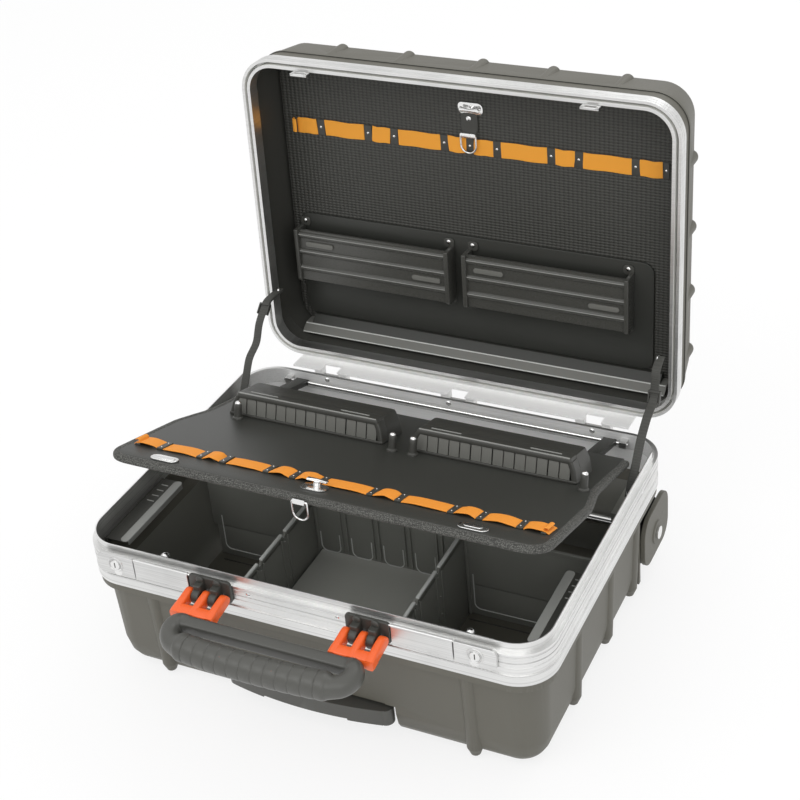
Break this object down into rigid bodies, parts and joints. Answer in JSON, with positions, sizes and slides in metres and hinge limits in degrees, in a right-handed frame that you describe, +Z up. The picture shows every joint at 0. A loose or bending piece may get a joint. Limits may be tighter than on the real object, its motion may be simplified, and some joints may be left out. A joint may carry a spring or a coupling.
{
  "type": "hard tool case",
  "caption": "Hard-shell tool case, open: framed lid and base, lift-up tool board, divided bays, latches, carry handle, wheels and pull-out trolley grip.",
  "frame": {"origin": "middle of the closed case's outline, on the plane its feet rest on", "axes": "+X to the right along the hinge line, +Y to the hinges at the back, +Z up"},
  "size_m": [0.4822, 0.5616, 0.4998],
  "materials": {
    "shell": "fine grained olive grey moulding",
    "black_plastic": "satin",
    "board": "embossed weave sheet",
    "binding": "woven edge tape",
    "aluminium": "brushed",
    "rail": "light grey satin",
    "chrome": "polished",
    "orange": "satin",
    "band": "woven elastic",
    "strap": "woven webbing",
    "rubber": "matt"
  },
  "bodies": {
    "case_base": {"base_shell": "shell", "base_frame": "aluminium", "frame_rivets": "chrome", "rib_feet": "rubber", "divider_left": "black_plastic", "divider_right": "black_plastic", "divider_back": "black_plastic", "side_rail_left": "rail", "side_rail_right": "rail", "axle_tube": "chrome", "wheel_housing_left": "shell", "wheel_housing_right": "shell", "axle_bolts": "chrome", "tube_clamps": "black_plastic", "trolley_tubes": "aluminium", "latch_plates": "aluminium", "latch_domes": "chrome", "lock_bodies": "aluminium", "latch_pins": "chrome", "handle_brackets": "black_plastic", "handle_pins": "chrome", "hinge_arms": "aluminium", "hinge_pins": "chrome", "board_brackets": "aluminium"},
    "lid": {"lid_frame": "aluminium", "lid_shell": "shell", "lid_hinge_leaf": "aluminium", "lid_fittings": "aluminium", "lid_board": "board", "lid_panel": "black_plastic", "lid_strip": "black_plastic", "lid_pockets": "black_plastic", "lid_band": "band", "lid_clips": "black_plastic", "straps": "strap", "strap_buckles": "black_plastic"},
    "tool_board": {"base_board": "board", "board_binding": "binding", "board_rod": "chrome", "board_band": "band", "board_clips": "black_plastic", "tool_trays": "black_plastic", "tray_posts": "black_plastic", "board_ovals": "chrome", "board_tab": "chrome"},
    "board_turn_lock": {"board_lock": "chrome"},
    "board_pull_ring": {"board_ring": "chrome"},
    "lid_turn_lock": {"lid_lock": "chrome"},
    "lid_pull_ring": {"lid_ring": "chrome"},
    "carry_handle": {"handle_knuckles": "orange", "handle_grip": "black_plastic"},
    "lever_left": {"latch_lever_left": "aluminium"},
    "lever_right": {"latch_lever_right": "aluminium"},
    "key_left": {"key_cylinder_left": "chrome"},
    "key_right": {"key_cylinder_right": "chrome"},
    "left_wheel": {"wheel_left": "rubber"},
    "right_wheel": {"wheel_right": "rubber"},
    "trolley_stage": {"trolley_sleeves": "chrome"},
    "trolley_pull": {"trolley_rods": "chrome", "trolley_grip": "black_plastic"}
  },
  "joints": [
    {"name": "lid_hinge", "type": "hinge", "parent": "case_base", "child": "lid", "pos_m": [0, 0.19015, 0.13555], "axis": [1, 0, 0], "range_deg": [0, 92.3], "deforming": ["straps", "strap_buckles"]},
    {"name": "board_tilt", "type": "hinge", "parent": "case_base", "child": "tool_board", "pos_m": [0.007, 0.1645, 0.142], "axis": [1, 0, 0], "range_deg": [0, 17.5]},
    {"name": "board_lock_turn", "type": "hinge", "parent": "tool_board", "child": "board_turn_lock", "pos_m": [-0.004, -0.10819, 0.23322], "axis": [0, 0.3007, 0.9537], "range_deg": [0, 90]},
    {"name": "board_ring_swing", "type": "hinge", "parent": "tool_board", "child": "board_pull_ring", "pos_m": [-0.004, -0.14138, 0.23802], "axis": [1, 0, 0], "range_deg": [-45, 0]},
    {"name": "lid_lock_turn", "type": "hinge", "parent": "lid", "child": "lid_turn_lock", "pos_m": [-0.003, 0.27286, 0.44563], "axis": [0, -0.9992, 0.0401], "range_deg": [0, 90]},
    {"name": "lid_ring_swing", "type": "hinge", "parent": "lid", "child": "lid_pull_ring", "pos_m": [-0.005, 0.26797, 0.4173], "axis": [1, 0, 0], "range_deg": [-80, 0]},
    {"name": "handle_swing", "type": "hinge", "parent": "case_base", "child": "carry_handle", "pos_m": [-0.008, -0.187, 0.139], "axis": [1, 0, 0], "range_deg": [-60, 70]},
    {"name": "lever_left_flip", "type": "hinge", "parent": "case_base", "child": "lever_left", "pos_m": [-0.143, -0.1773, 0.1529], "axis": [-1, 0, 0], "range_deg": [0, 70]},
    {"name": "lever_right_flip", "type": "hinge", "parent": "case_base", "child": "lever_right", "pos_m": [0.127, -0.1773, 0.1529], "axis": [-1, 0, 0], "range_deg": [0, 70]},
    {"name": "key_left_turn", "type": "hinge", "parent": "case_base", "child": "key_left", "pos_m": [-0.194, -0.178, 0.144], "axis": [0, -1, 0], "range_deg": [0, 90]},
    {"name": "key_right_turn", "type": "hinge", "parent": "case_base", "child": "key_right", "pos_m": [0.178, -0.178, 0.144], "axis": [0, -1, 0], "range_deg": [0, 90]},
    {"name": "wheel_left_roll", "type": "hinge", "parent": "case_base", "child": "left_wheel", "pos_m": [-0.216, 0.15, 0.05], "axis": [1, 0, 0], "continuous": true},
    {"name": "wheel_right_roll", "type": "hinge", "parent": "case_base", "child": "right_wheel", "pos_m": [0.216, 0.15, 0.05], "axis": [1, 0, 0], "continuous": true},
    {"name": "trolley_stage_slide", "type": "slide", "parent": "case_base", "child": "trolley_stage", "axis": [0, -1, 0], "range_m": [0, 0.16]},
    {"name": "trolley_pull_slide", "type": "slide", "parent": "trolley_stage", "child": "trolley_pull", "axis": [0, -1, 0], "range_m": [0, 0.155]}
  ],
  "couplings": [
    {"joint": "board_tilt", "follows": "lid_hinge", "ratio": 0.1895}
  ]
}
